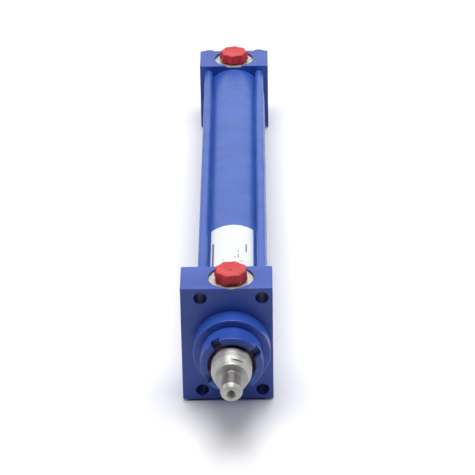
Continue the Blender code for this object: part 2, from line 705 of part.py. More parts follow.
def main():
    clear_scene()
    blue = finish("blue_paint", (0.06, 0.14, 0.50), 0.35, 0.0)
    chrome = finish("hard_chrome", (0.78, 0.78, 0.80), 0.15, 1.0)
    steel = finish("machined_steel", (0.45, 0.45, 0.46), 0.35, 1.0)
    bronze = finish("bronze", (0.55, 0.33, 0.14), 0.4, 1.0)
    hard_seal = finish("hard_seal", (0.09, 0.22, 0.16), 0.5, 0.0)
    rubber = finish("black_rubber", (0.02, 0.02, 0.02), 0.6, 0.0)
    red = finish("red_plastic", (0.65, 0.03, 0.04), 0.3, 0.0)
    white = finish("label_film", (0.85, 0.86, 0.88), 0.4, 0.0)

    barrel = empty("barrel_frame", (0, 0, 0))
    head_frame = empty("head_frame", (0, HEAD_FRONT_Y, 0), barrel)
    sliding = empty("rod_slide_axis", (0, ROD_SHOULDER_Y, 0), barrel)
    turning = empty("rod_turn_axis", (0, 0, 0), sliding)
    head_port = empty("front_port_axis", (0, HEAD_PORT_Y, HEAD_HALF_HEIGHT - SPOTFACE_DEPTH), barrel)
    cap_port = empty("rear_port_axis", (0, CAP_PORT_Y, CAP_HALF_WIDTH - SPOTFACE_DEPTH), barrel)

    make_head(blue, head_frame)
    make_cap(blue, barrel)
    make_tube(blue, barrel)
    make_tie_rods(blue, barrel)
    make_tie_rod_nuts(blue, barrel)
    make_gland(blue, head_frame)
    make_gland_seals(rubber, hard_seal, bronze, head_frame)
    make_tube_o_rings(rubber, barrel)
    make_label(white, barrel)
    make_piston_rod(chrome, turning)
    make_piston(steel, bronze, hard_seal, rubber, turning, sliding)
    make_plug("front_port_plug", FRONT_PLUG_TURN, red, head_port)
    make_plug("rear_port_plug", REAR_PLUG_TURN, red, cap_port)


main()
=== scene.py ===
"""Looks of a hydraulic tie-rod cylinder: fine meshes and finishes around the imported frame.

Metres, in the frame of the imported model: the cylinder's axis is Y, its rod points along -Y and
its ports face +Z. Turned pieces are lists of (distance along the axis, radius) rows.
"""

import json
from math import atan2, cos, pi, radians, sin, tan

import bmesh
import bpy
import numpy as np
from mathutils import Matrix, Vector


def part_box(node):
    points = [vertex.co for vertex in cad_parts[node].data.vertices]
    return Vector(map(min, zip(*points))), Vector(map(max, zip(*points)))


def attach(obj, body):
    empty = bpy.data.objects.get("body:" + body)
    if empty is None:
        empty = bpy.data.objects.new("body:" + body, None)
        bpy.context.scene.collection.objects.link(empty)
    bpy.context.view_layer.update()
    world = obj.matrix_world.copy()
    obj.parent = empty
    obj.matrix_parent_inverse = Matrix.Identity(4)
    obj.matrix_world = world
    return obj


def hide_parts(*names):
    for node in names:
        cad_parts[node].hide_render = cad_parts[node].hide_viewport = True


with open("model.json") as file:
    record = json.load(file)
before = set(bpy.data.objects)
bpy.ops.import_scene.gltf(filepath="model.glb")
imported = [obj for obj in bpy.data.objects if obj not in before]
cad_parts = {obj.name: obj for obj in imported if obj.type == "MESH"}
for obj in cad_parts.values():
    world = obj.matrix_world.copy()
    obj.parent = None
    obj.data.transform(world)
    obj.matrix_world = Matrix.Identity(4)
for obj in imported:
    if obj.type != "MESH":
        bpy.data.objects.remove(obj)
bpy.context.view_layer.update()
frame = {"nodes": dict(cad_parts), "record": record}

# Places read from the frame
HEAD_LOW, HEAD_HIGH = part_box("head")
CAP_LOW, CAP_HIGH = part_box("cap")
TUBE_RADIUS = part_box("tube")[1].z
GLAND_LOW, GLAND_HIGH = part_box("gland")
ROD_LOW, ROD_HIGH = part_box("piston_rod")
FRONT_PLUG_LOW, FRONT_PLUG_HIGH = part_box("front_port_plug")
REAR_PLUG_LOW, REAR_PLUG_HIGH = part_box("rear_port_plug")
NUT_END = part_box("tie_rod_nut_top_right")[1].y
TIE_ROD_LOW, TIE_ROD_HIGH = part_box("tie_rod_top_right")
LABEL_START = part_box("type_label")[0].y

# Fits and cuts
FIT_GAP = 0.0003
JOIN = 0.005
OVERSHOOT = 0.001
BORE_RADIUS = 0.016
ROD_RADIUS = 0.011

# Head and cap
HEAD_EDGE = 0.0007
CAP_EDGE = 0.0006
BOSS_LENGTH = 0.010
BOSS_RADIUS = 0.021
BOSS_EDGE = 0.0008
SPIGOT_LENGTH = 0.008
SPIGOT_RADIUS = BORE_RADIUS - FIT_GAP
SPIGOT_EDGE = 0.0004
SPIGOT_BORE_RADIUS = 0.0126
CARTRIDGE_BORE_RADIUS = 0.0153
CARTRIDGE_BORE_DEPTH = 0.018
CARTRIDGE_CHAMFER = 0.0004
MOUNTING_HOLE = (0.0166, 0.029, 0.0035)
MOUNTING_CHAMFER = 0.00025
CENTRE_RING_INNER = 0.0080
CENTRE_RING_OUTER = 0.0088
CENTRE_RING_DEPTH = 0.0004
CENTRE_RING_SLOPE = 0.0002
HEAD_FRONT = HEAD_LOW.y + BOSS_LENGTH
HEAD_REAR = HEAD_HIGH.y - SPIGOT_LENGTH
CAP_FRONT = CAP_LOW.y + SPIGOT_LENGTH
CAP_REAR = CAP_HIGH.y

# Ports
HEAD_PORT = Vector((0, (FRONT_PLUG_LOW.y + FRONT_PLUG_HIGH.y) / 2, HEAD_HIGH.z))
CAP_PORT = Vector((0, (REAR_PLUG_LOW.y + REAR_PLUG_HIGH.y) / 2, CAP_HIGH.z))
HEAD_SPOTFACE_RADIUS = 0.01245
CAP_SPOTFACE_RADIUS = 0.0127
SPOTFACE_DEPTH = 0.0012
SPOTFACE_CORNER = 0.0002
PORT_DEPTH = 0.0125
PORT_PITCH = 0.001337
PORT_THREAD_MAJOR = 0.00658
PORT_THREAD_MINOR = 0.00595
PORT_MOUTH_RADIUS = 0.0070
PORT_MOUTH_DEPTH = 0.0010
OIL_DRILL_RADIUS = 0.0025
GALLERY_RADIUS = 0.006
HEAD_DRILL_END = 0.014

# Tie rods and their nuts
TIE_ROD_OFFSET = (TIE_ROD_LOW.x + TIE_ROD_HIGH.x) / 2
TIE_ROD_HOLE_RADIUS = 0.0027
TIE_ROD_HOLE_DEPTH = 0.0155
TIE_ROD_HOLE_CHAMFER = 0.0001
TIE_ROD_SHANK_RADIUS = 0.00265
TIE_ROD_MAJOR = 0.0030
TIE_ROD_MINOR = 0.00242
TIE_ROD_PITCH = 0.001
TIE_ROD_CHAMFER = 0.0006
NUT_ACROSS_FLATS = 0.010
NUT_BLANK_RADIUS = 0.00585
NUT_BORE_RADIUS = 0.0031
NUT_TURNS = {"top_left": -4.0, "top_right": 3.0, "bottom_left": 14.0, "bottom_right": -9.0}

# Gland cartridge and wiper
GLAND_RADIUS = GLAND_HIGH.z
GLAND_BODY_RADIUS = 0.0150
GLAND_BODY_END = HEAD_FRONT + 0.009
GLAND_NOSE_RADIUS = 0.0123
MOUTH_RADIUS = 0.0128
MOUTH_END = HEAD_FRONT - 0.0155
SLOT_INNER = 0.0120
SLOT_OUTER = 0.0185
SLOT_DEPTH = 0.0035
SLOT_HALF_WIDTH = 0.0027
SLOT_EDGE = 0.00025
SLOT_FIRST_ANGLE = radians(31.5)
WIPER_BACK = HEAD_FRONT - 0.0157
WIPER_FRONT = HEAD_FRONT - 0.0204
WIPER_RADIUS = 0.01272

# Type label: half of its wrap in degrees
LABEL_LENGTH = 0.0625
LABEL_HALF_WRAP = 37.0
LABEL_STEPS = 40
LABEL_LIFT = 0.00004
LABEL_THICKNESS = 0.00012
LABEL_SKEW = 0.0008

# Piston rod and its end
ROD_THREAD_LENGTH = 0.0155
ROD_THREAD_MAJOR = 0.0060
ROD_THREAD_MINOR = 0.0052
ROD_THREAD_PITCH = 0.00175
ROD_RELIEF_LENGTH = 0.0024
ROD_RELIEF_RADIUS = 0.0050
ROD_NOSE_LENGTH = 0.0026
ROD_NOSE_RADIUS = 0.0042
ROD_NECK_RADIUS = 0.0090
ROD_TAPER_LENGTH = 0.0065
FLATS_LENGTH = 0.0037
FLATS_HALF_ACROSS = 0.0095
FLATS_TILT = radians(19.0)
CENTRE_HOLE_RADIUS = 0.0010
CENTRE_HOLE_DEPTH = 0.0050
PISTON_SEAT_LENGTH = 0.0233
PISTON_SEAT_RADIUS = 0.0070
PISTON_SEAT_END = 0.012

# Port plugs, from the spotface's floor
PLUG_BASE = 0.0009
PLUG_TOP = 0.0066
PLUG_HALF_FLATS = 0.0085
PLUG_EDGE = 0.0006
PLUG_TAPER = 0.0005
PLUG_STEM_LENGTH = 0.010
PLUG_THREAD_MAJOR = 0.00625
PLUG_THREAD_MINOR = 0.00565
PLUG_HOLLOW_TOP = 0.0034
PLUG_DISH_RADIUS = 0.0053
FRONT_PLUG_TURN = radians(84.7)
REAR_PLUG_TURN = radians(72.7)

# Meshes of turned pieces: points round the axis
FINE = 160
MEDIUM = 96
COARSE = 64
ALONG_Y = Matrix.Identity(4)
UPRIGHT = Matrix.Rotation(radians(90), 4, "X")


# --- Meshes -------------------------------------------------------------------------------------


def rounded(points, steps=4):
    """Rows of (place, radius) from corners of (place, radius, size of the round)."""
    rows = []
    for index, corner in enumerate(points):
        here = Vector(corner[:2])
        size = corner[2] if len(corner) > 2 else 0.0
        if not size or index in (0, len(points) - 1):
            rows.append(tuple(here))
            continue
        before = (Vector(points[index - 1][:2]) - here).normalized()
        after = (Vector(points[index + 1][:2]) - here).normalized()
        start, end = here + before * size, here + after * size
        for step in range(steps + 1):
            t = step / steps
            rows.append(tuple(start * (1 - t) ** 2 + here * 2 * t * (1 - t) + end * t**2))
    return rows


def divided(rows, start, end, step):
    """The same rows with more of them between two places, for a thread or another fine shape."""
    made = [rows[0]]
    for (y0, r0), (y1, r1) in zip(rows, rows[1:]):
        inside = min(y0, y1) >= start - 1e-9 and max(y0, y1) <= end + 1e-9
        parts = max(1, round(abs(y1 - y0) / step)) if inside else 1
        for part in range(1, parts + 1):
            t = part / parts
            made.append((y0 + (y1 - y0) * t, r0 + (r1 - r0) * t))
    return made


def thread(pitch, major, minor, start, end):
    """Radius limit of a right-hand thread with slightly rounded crests, between two places."""
    free, steepness, cut_off, softness = 1.0, 1.28, 0.14, 0.25

    def limit(angle, place):
        if not start <= place <= end:
            return np.full_like(angle, free)
        phase = (place / pitch + angle / (2 * pi)) % 1.0
        share = np.clip(np.abs(2 * phase - 1) * steepness - cut_off, 0, 1)
        share = share * (1 - softness) + softness * share * share * (3 - 2 * share)
        return minor + (major - minor) * share

    return limit


def polygon(sides, across_flats, turn, sharpness, hollow=0.0):
    """Radius limit of a bar with slightly soft corners.

    One side faces the angle turn. hollow dips the middle of each side by a share of the radius.
    """
    half = pi / sides
    dip_reach = 0.8

    def limit(angle, place):
        total = 0
        for side in range(sides):
            facing = np.cos(angle - turn - 2 * half * side)
            total = total + np.clip(facing, 0, 1) ** sharpness
        swing = (angle - turn + half) % (2 * half) - half
        dip = np.clip(1 - (np.tan(swing) / tan(half * dip_reach)) ** 2, 0, 1)
        return across_flats / 2 / total ** (1 / sharpness) * (1 - hollow * dip)

    return limit


def turned(name, rows, segments=FINE, place=ALONG_Y, limit=None, shape=None, loop=False):
    """A mesh of rows spun round the axis.

    limit cuts each radius, shape scales it by the row's third value, and loop joins the last row
    to the first.
    """
    angle = np.arange(segments) * 2 * pi / segments
    points, rings, faces = [], [], []
    for station, nominal, *shares in rows:
        radius = np.full(segments, nominal)
        if shape is not None and shares:
            outline = shape(angle, station)
            radius = radius * (1 + shares[0] * (outline / outline.min() - 1))
        if limit is not None:
            radius = np.minimum(radius, limit(angle, station))
        first = len(points)
        if nominal < 1e-7:
            points.append((0, station, 0))
            rings.append([first] * segments)
            continue
        points.extend(zip(radius * np.cos(angle), [station] * segments, radius * np.sin(angle)))
        rings.append(list(range(first, first + segments)))
    pairs = list(zip(rings, rings[1:]))
    if loop:
        pairs.append((rings[-1], rings[0]))
    for one, two in pairs:
        for i in range(segments):
            j = (i + 1) % segments
            face = list(dict.fromkeys((one[i], one[j], two[j], two[i])))
            if len(face) > 2:
                faces.append(face)
    mesh = bpy.data.meshes.new(name)
    mesh.from_pydata([tuple(map(float, p)) for p in points], [], faces)
    mesh.transform(place)
    return made_object(name, mesh)


def made_object(name, mesh):
    """The mesh as an object in the scene, with its faces turned outwards."""
    cleaned = bmesh.new()
    cleaned.from_mesh(mesh)
    bmesh.ops.recalc_face_normals(cleaned, faces=cleaned.faces)
    cleaned.to_mesh(mesh)
    cleaned.free()
    made = bpy.data.objects.new(name, mesh)
    bpy.context.scene.collection.objects.link(made)
    return made


def bevelled_block(name, low, high, size, steps=3, turn=None):
    """A block with rounded edges."""
    block = bmesh.new()
    span = Vector(high) - Vector(low)
    middle = (Vector(high) + Vector(low)) / 2
    shape = Matrix.Translation(middle) @ Matrix.Diagonal((*span, 1))
    bmesh.ops.create_cube(block, size=1.0, matrix=shape)
    edges = block.edges[:]
    bmesh.ops.bevel(block, geom=edges, offset=size, segments=steps, profile=0.5, affect="EDGES")
    if turn is not None:
        bmesh.ops.transform(block, matrix=turn, verts=block.verts)
    mesh = bpy.data.meshes.new(name)
    block.to_mesh(mesh)
    block.free()
    return made_object(name, mesh)


def combine(target, *steps):
    """Applies Boolean steps of (operation, other) to target and removes the others."""
    for operation, other in steps:
        modifier = target.modifiers.new(operation, "BOOLEAN")
        modifier.operation = operation
        modifier.solver = "EXACT"
        modifier.material_mode = "TRANSFER"
        modifier.object = other
        other.hide_render = True
    bpy.context.view_layer.update()
    graph = bpy.context.evaluated_depsgraph_get()
    result = bpy.data.meshes.new_from_object(target.evaluated_get(graph))
    target.modifiers.clear()
    target.data = result
    for _, other in steps:
        bpy.data.objects.remove(other)


def coat(piece, material):
    piece.data.materials.clear()
    piece.data.materials.append(material)
    return piece


def zoned(piece, zones, rule):
    """Gives each face one of several materials, by a rule on the face's centre."""
    piece.data.materials.clear()
    for material in zones:
        piece.data.materials.append(material)
    for face in piece.data.polygons:
        face.material_index = rule(face.center)
    return piece


def complete(piece, body, slot, *nodes, sharp=32):
    """Shades a piece, ties it to its body and hides the CAD nodes it stands for; slot is not used.
    """
    piece.data.shade_smooth()
    piece.data.set_sharp_from_angle(angle=radians(sharp))
    weighted = piece.modifiers.new("even_shading", "WEIGHTED_NORMAL")
    weighted.keep_sharp = True
    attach(piece, body)
    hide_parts(*nodes)


# --- Finishes -----------------------------------------------------------------------------------


class Nodes:
    """Short calls for building one material's nodes."""

    def __init__(self, name, colour, roughness, metallic=0.0):
        self.material = bpy.data.materials.new(name)
        self.material.use_nodes = True
        self.tree = self.material.node_tree
        self.shader = self.tree.nodes["Principled BSDF"]
        self.shader.inputs["Base Color"].default_value = (*colour, 1)
        self.shader.inputs["Roughness"].default_value = roughness
        self.shader.inputs["Metallic"].default_value = metallic
        self.place = self.tree.nodes.new("ShaderNodeTexCoord").outputs["Object"]

    def link(self, source, target):
        self.tree.links.new(source, target)

    def mapped(self, scale, offset=(0, 0, 0)):
        node = self.tree.nodes.new("ShaderNodeMapping")
        node.inputs["Location"].default_value = offset
        node.inputs["Scale"].default_value = scale
        self.link(self.place, node.inputs["Vector"])
        return node.outputs["Vector"]

    def noise(self, scale, detail, vector=None, roughness=0.5):
        node = self.tree.nodes.new("ShaderNodeTexNoise")
        node.inputs["Scale"].default_value = scale
        node.inputs["Detail"].default_value = detail
        node.inputs["Roughness"].default_value = roughness
        self.link(vector or self.place, node.inputs["Vector"])
        return node.outputs["Fac"]

    def ranged(self, value, low, high, to_low, to_high):
        node = self.tree.nodes.new("ShaderNodeMapRange")
        numbers = {"From Min": low, "From Max": high, "To Min": to_low, "To Max": to_high}
        for key, number in numbers.items():
            node.inputs[key].default_value = number
        self.link(value, node.inputs["Value"])
        return node.outputs["Result"]

    def cloud(self, scale, detail, low=0.35, high=0.65):
        """Soft patches from 0 to 1."""
        return self.ranged(self.noise(scale, detail), low, high, 0, 1)

    def mixed(self, share, first, second):
        node = self.tree.nodes.new("ShaderNodeMix")
        node.data_type = "RGBA"
        self.link(share, node.inputs["Factor"])
        for socket, value in ((node.inputs["A"], first), (node.inputs["B"], second)):
            if isinstance(value, tuple):
                socket.default_value = (*value, 1)
            else:
                self.link(value, socket)
        return node.outputs["Result"]

    def maths(self, operation, first, second=None):
        node = self.tree.nodes.new("ShaderNodeMath")
        node.operation = operation
        for socket, value in zip(node.inputs, (first, second)):
            if value is None:
                continue
            if isinstance(value, (int, float)):
                socket.default_value = value
            else:
                self.link(value, socket)
        return node.outputs["Value"]

    def bump(self, height, distance, after=None):
        node = self.tree.nodes.new("ShaderNodeBump")
        node.inputs["Strength"].default_value = 1.0
        node.inputs["Distance"].default_value = distance
        self.link(height, node.inputs["Height"])
        if after is not None:
            self.link(after, node.inputs["Normal"])
        self.link(node.outputs["Normal"], self.shader.inputs["Normal"])
        return node.outputs["Normal"]

    def colour(self, source):
        self.link(source, self.shader.inputs["Base Color"])

    def roughness(self, scale, detail, smooth, rough):
        """Patches of gloss between two roughness values."""
        source = self.ranged(self.noise(scale, detail), 0.3, 0.7, smooth, rough)
        self.link(source, self.shader.inputs["Roughness"])


def blue_paint(name, thin, thick):
    """Sprayed enamel: faint mottling, orange peel and a few specks of dust under the film."""
    n = Nodes(name, thick, 0.36)
    mottle = n.cloud(38, 4)
    shade = n.mixed(mottle, thin, thick)
    specks = n.ranged(n.noise(900, 2), 0.74, 0.78, 0, 0.55)
    n.colour(n.mixed(specks, shade, (0.012, 0.03, 0.16)))
    n.roughness(120, 3, 0.30, 0.42)
    peel = n.bump(n.noise(620, 2), 0.000022)
    n.bump(n.noise(2600, 1), 0.000004, peel)
    return n.material


def bare_spotface(port, name):
    """Turned steel left bare round a port, with the cutter's rings."""
    ring_pitch = 0.00032
    n = Nodes(name, (0.58, 0.57, 0.53), 0.4, 0.65)
    local = n.mapped((1, 1, 1), (-port.x, -port.y, -port.z))
    split = n.tree.nodes.new("ShaderNodeSeparateXYZ")
    n.link(local, split.inputs["Vector"])
    across = n.maths("MULTIPLY", split.outputs["X"], split.outputs["X"])
    along = n.maths("MULTIPLY", split.outputs["Y"], split.outputs["Y"])
    distance = n.maths("SQRT", n.maths("ADD", across, along))
    rings = n.maths("SINE", n.maths("MULTIPLY", distance, 2 * pi / ring_pitch))
    stain = n.cloud(260, 4, high=0.7)
    n.colour(n.mixed(stain, (0.62, 0.61, 0.57), (0.46, 0.45, 0.41)))
    n.roughness(420, 3, 0.32, 0.48)
    n.bump(rings, 0.000004)
    return n.material


def ground_steel(name, colour, low, high, depth, stretch):
    """Round-ground metal: fine lines round the axis and faint handling marks."""
    n = Nodes(name, colour, (low + high) / 2, 1.0)
    if stretch:
        along = n.tree.nodes.new("ShaderNodeTangent")
        along.direction_type = "RADIAL"
        along.axis = "Y"
        n.link(along.outputs["Tangent"], n.shader.inputs["Tangent"])
        n.shader.inputs["Anisotropic"].default_value = stretch
        n.shader.inputs["Anisotropic Rotation"].default_value = 0.25
    lines = n.noise(1.0, 3, n.mapped((60, 9000, 60)), 0.7)
    bands = n.noise(1.0, 2, n.mapped((25, 900, 25)))
    n.roughness(330, 5, low, high)
    dull = tuple(0.78 * c for c in colour)
    n.colour(n.mixed(n.ranged(bands, 0.35, 0.7, 0, 1), colour, dull))
    n.bump(n.maths("ADD", lines, n.maths("MULTIPLY", bands, 1.5)), depth)
    return n.material


def red_polyethylene():
    """Moulded waxy plastic that lets a little light in."""
    n = Nodes("red_polyethylene", (0.55, 0.018, 0.024), 0.40)
    shader = n.shader
    shader.inputs["Specular IOR Level"].default_value = 0.55
    shader.inputs["Subsurface Weight"].default_value = 0.08
    shader.inputs["Subsurface Radius"].default_value = (0.0015, 0.0003, 0.0002)
    shader.inputs["Subsurface Scale"].default_value = 1.0
    n.colour(n.mixed(n.cloud(160, 3), (0.50, 0.015, 0.021), (0.58, 0.021, 0.028)))
    n.roughness(500, 3, 0.36, 0.50)
    n.bump(n.noise(900, 3), 0.000012)
    return n.material


def wiper_rubber():
    """Dark polyurethane with a red tint."""
    n = Nodes("wiper_rubber", (0.060, 0.024, 0.045), 0.5)
    n.roughness(700, 3, 0.42, 0.6)
    n.bump(n.noise(1500, 3), 0.000012)
    return n.material


def label_film():
    """White plastic film, a little uneven where it is stuck down."""
    n = Nodes("label_film", (0.90, 0.90, 0.92), 0.32)
    n.colour(n.mixed(n.cloud(70, 3), (0.68, 0.70, 0.715), (0.72, 0.735, 0.745)))
    n.roughness(260, 2, 0.28, 0.38)
    n.bump(n.noise(180, 2), 0.00003)
    return n.material


def label_ink():
    """Black print, thin in places."""
    n = Nodes("label_ink", (0.05, 0.05, 0.06), 0.4)
    worn = n.cloud(2600, 2, low=0.4, high=0.62)
    n.colour(n.mixed(worn, (0.04, 0.04, 0.05), (0.22, 0.22, 0.25)))
    return n.material


def plain_grain(name, colour, roughness, metallic=0.0):
    """Fine grain in the colour and the gloss, for small or hidden surfaces."""
    n = Nodes(name, colour, roughness, metallic)
    dark = tuple(0.82 * c for c in colour)
    n.colour(n.mixed(n.cloud(300, 3), dark, colour))
    n.roughness(500, 3, roughness - 0.06, roughness + 0.06)
    n.bump(n.noise(1200, 2), 0.000008)
    return n.material


# --- Pieces of the barrel -----------------------------------------------------------------------


def corners(x, z):
    """Four places round the axis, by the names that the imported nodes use."""
    names = ("top_left", "top_right", "bottom_left", "bottom_right")
    return dict(zip(names, ((-x, z), (x, z), (-x, -z), (x, -z))))


def shifted(x, z):
    return Matrix.Translation((x, 0, z))


def stub(name, radius, low, low_edge, high, high_edge, paint):
    """A solid round stub with rounded rims, to be joined to a block."""
    rows = [(low, 0.0), (low, radius, low_edge), (high, radius, high_edge), (high, 0.0)]
    return coat(turned(name, rounded(rows)), paint)


def port_cutter(port, bottom, spotface_radius, metal, wall):
    """Spotface, port with ring-shaped thread grooves and oil drilling, from the bottom up; the
    spotface's side wall gets the near-black wall material as painted shade.
    """
    floor, top = port.z - SPOTFACE_DEPTH, port.z + OVERSHOOT
    port_end, thread_end = floor - PORT_DEPTH, floor - 0.0012
    drill, minor, major = OIL_DRILL_RADIUS, PORT_THREAD_MINOR, PORT_THREAD_MAJOR
    rows = [(bottom, 0.0), (bottom, drill), (port_end, drill), (port_end, minor)]
    groove = port_end + 0.0006
    while groove + PORT_PITCH < thread_end:
        rows.append((groove, minor))
        rows.append((groove + PORT_PITCH * 0.45, major))
        rows.append((groove + PORT_PITCH * 0.55, major))
        groove += PORT_PITCH
    rows += [(groove, minor), (floor - PORT_MOUTH_DEPTH, minor), (floor, PORT_MOUTH_RADIUS)]
    rows.append((floor, spotface_radius - SPOTFACE_CORNER))
    rows.append((floor + SPOTFACE_CORNER, spotface_radius))
    rows += [(top, spotface_radius), (top, 0.0)]
    cutter = turned("port_cutter", rows, FINE, Matrix.Translation((port.x, port.y, 0)) @ UPRIGHT)
    wall_start = floor + SPOTFACE_CORNER / 2
    zoned(cutter, (metal, wall), lambda centre: 1 if centre.z > wall_start else 0)
    return cutter


def corner_holes(x, z, radius, start, end, edge, paint):
    """Steps that cut four round holes with a small chamfer at both ends."""
    rows = [
        (start - OVERSHOOT, 0.0),
        (start - OVERSHOOT, radius + edge),
        (start, radius + edge),
        (start + edge, radius),
        (end - edge, radius),
        (end, radius + edge),
        (end + OVERSHOOT, radius + edge),
        (end + OVERSHOOT, 0.0),
    ]
    steps = []
    for place in corners(x, z).values():
        cutter = turned("hole_cutter", rows, MEDIUM, shifted(*place))
        steps.append(("DIFFERENCE", coat(cutter, paint)))
    return steps


def make_head(paint, spotface, wall):
    """Block with a boss in front, a spigot behind, screw holes, a port and the cartridge's bore."""
    low = (HEAD_LOW.x, HEAD_FRONT, HEAD_LOW.z)
    high = (HEAD_HIGH.x, HEAD_REAR, HEAD_HIGH.z)
    head = coat(bevelled_block("head_body", low, high, HEAD_EDGE), paint)
    boss = stub("boss", BOSS_RADIUS, HEAD_LOW.y, BOSS_EDGE, HEAD_FRONT + JOIN, 0.0, paint)
    spigot = stub("spigot", SPIGOT_RADIUS, HEAD_REAR - JOIN, 0.0, HEAD_HIGH.y, SPIGOT_EDGE, paint)
    bore = [
        (HEAD_LOW.y - OVERSHOOT, 0.0),
        (HEAD_LOW.y - OVERSHOOT, CARTRIDGE_BORE_RADIUS + CARTRIDGE_CHAMFER),
        (HEAD_LOW.y, CARTRIDGE_BORE_RADIUS + CARTRIDGE_CHAMFER),
        (HEAD_LOW.y + CARTRIDGE_CHAMFER, CARTRIDGE_BORE_RADIUS),
        (HEAD_FRONT + CARTRIDGE_BORE_DEPTH, CARTRIDGE_BORE_RADIUS),
        (HEAD_FRONT + CARTRIDGE_BORE_DEPTH, SPIGOT_BORE_RADIUS),
        (HEAD_HIGH.y + OVERSHOOT, SPIGOT_BORE_RADIUS),
        (HEAD_HIGH.y + OVERSHOOT, 0.0),
    ]
    port = port_cutter(HEAD_PORT, HEAD_DRILL_END, HEAD_SPOTFACE_RADIUS, spotface, wall)
    steps = [
        ("UNION", boss),
        ("UNION", spigot),
        ("DIFFERENCE", coat(turned("bore", bore), paint)),
        ("DIFFERENCE", port),
    ]
    steps += corner_holes(*MOUNTING_HOLE, HEAD_FRONT, HEAD_REAR, MOUNTING_CHAMFER, paint)
    rod_hole = (TIE_ROD_OFFSET, TIE_ROD_OFFSET, TIE_ROD_HOLE_RADIUS)
    hole_start = HEAD_REAR - TIE_ROD_HOLE_DEPTH
    steps += corner_holes(*rod_hole, hole_start, HEAD_REAR, TIE_ROD_HOLE_CHAMFER, paint)
    combine(head, *steps)
    complete(head, "barrel", "blue_paint", "head")


def make_cap(paint, spotface, wall):
    """Block with a spigot in front, a port, its gallery, tie rod holes and a turned centre ring."""
    low = (CAP_LOW.x, CAP_FRONT, CAP_LOW.z)
    cap = coat(bevelled_block("cap_body", low, tuple(CAP_HIGH), CAP_EDGE), paint)
    spigot = stub("spigot", SPIGOT_RADIUS, CAP_LOW.y, SPIGOT_EDGE, CAP_FRONT + JOIN, 0.0, paint)
    gallery_end = CAP_PORT.y + GALLERY_RADIUS
    gallery = [
        (CAP_LOW.y - OVERSHOOT, 0.0),
        (CAP_LOW.y - OVERSHOOT, GALLERY_RADIUS),
        (gallery_end, GALLERY_RADIUS),
        (gallery_end, 0.0),
    ]
    ring_floor = CAP_REAR - CENTRE_RING_DEPTH
    centre_ring = [
        (ring_floor, CENTRE_RING_INNER + CENTRE_RING_SLOPE),
        (ring_floor, CENTRE_RING_OUTER - CENTRE_RING_SLOPE),
        (CAP_REAR, CENTRE_RING_OUTER),
        (CAP_REAR + OVERSHOOT, CENTRE_RING_OUTER),
        (CAP_REAR + OVERSHOOT, CENTRE_RING_INNER),
        (CAP_REAR, CENTRE_RING_INNER),
    ]
    port = port_cutter(CAP_PORT, 0.0, CAP_SPOTFACE_RADIUS, spotface, wall)
    steps = [
        ("UNION", spigot),
        ("DIFFERENCE", coat(turned("gallery", gallery, MEDIUM), paint)),
        ("DIFFERENCE", port),
    ]
    rod_hole = (TIE_ROD_OFFSET, TIE_ROD_OFFSET, TIE_ROD_HOLE_RADIUS)
    steps += corner_holes(*rod_hole, CAP_FRONT, CAP_REAR, TIE_ROD_HOLE_CHAMFER, paint)
    steps.append(("DIFFERENCE", coat(turned("centre_ring", centre_ring, loop=True), paint)))
    combine(cap, *steps)
    complete(cap, "barrel", "blue_paint", "cap")


def make_tube(paint):
    """Barrel tube, seated just clear of head and cap."""
    seat, edge = 0.00003, 0.0003
    wall = [
        (HEAD_REAR + seat, BORE_RADIUS),
        (HEAD_REAR + seat, TUBE_RADIUS, edge),
        (CAP_FRONT - seat, TUBE_RADIUS, edge),
        (CAP_FRONT - seat, BORE_RADIUS),
    ]
    tube = coat(turned("tube_body", rounded(wall), loop=True), paint)
    complete(tube, "barrel", "blue_paint", "tube")


def make_tie_rods(paint):
    """Plain shanks with a cut thread behind the nuts."""
    low, high = TIE_ROD_LOW.y, TIE_ROD_HIGH.y
    start = NUT_END + FIT_GAP
    rows = [
        (low, 0.0),
        (low, TIE_ROD_SHANK_RADIUS),
        (start - TIE_ROD_CHAMFER, TIE_ROD_SHANK_RADIUS),
        (start, TIE_ROD_MAJOR),
        (high - TIE_ROD_CHAMFER, TIE_ROD_MAJOR),
        (high, TIE_ROD_MINOR - 0.0001),
        (high, 0.0),
    ]
    rows = divided(rows, start, high, 0.00009)
    limit = thread(TIE_ROD_PITCH, TIE_ROD_MAJOR, TIE_ROD_MINOR, start, high)
    for corner, place in corners(TIE_ROD_OFFSET, TIE_ROD_OFFSET).items():
        rod = turned(f"tie_rod_{corner}_body", rows, COARSE, shifted(*place), limit)
        complete(coat(rod, paint), "barrel", "blue_paint", f"tie_rod_{corner}", sharp=50)


def make_tie_rod_nuts(paint):
    """Hexagon nuts with turned corners, seated on the cap's rear face."""
    start, end = CAP_REAR + 0.00003, NUT_END
    rows = [
        (start, NUT_BORE_RADIUS),
        (start, 0.0049),
        (start + 0.00045, NUT_BLANK_RADIUS),
        (end - 0.0018, NUT_BLANK_RADIUS),
        (end - 0.0004, 0.0047),
        (end, 0.0041),
        (end, 0.0035),
        (end - 0.0005, NUT_BORE_RADIUS),
    ]
    rows = divided(rows, start, end, 0.00025)
    for corner, place in corners(TIE_ROD_OFFSET, TIE_ROD_OFFSET).items():
        limit = polygon(6, NUT_ACROSS_FLATS, radians(90 - NUT_TURNS[corner]), 160)
        name = f"tie_rod_nut_{corner}_body"
        nut = turned(name, rows, MEDIUM, shifted(*place), limit, loop=True)
        complete(coat(nut, paint), "barrel", "blue_paint", f"tie_rod_nut_{corner}")


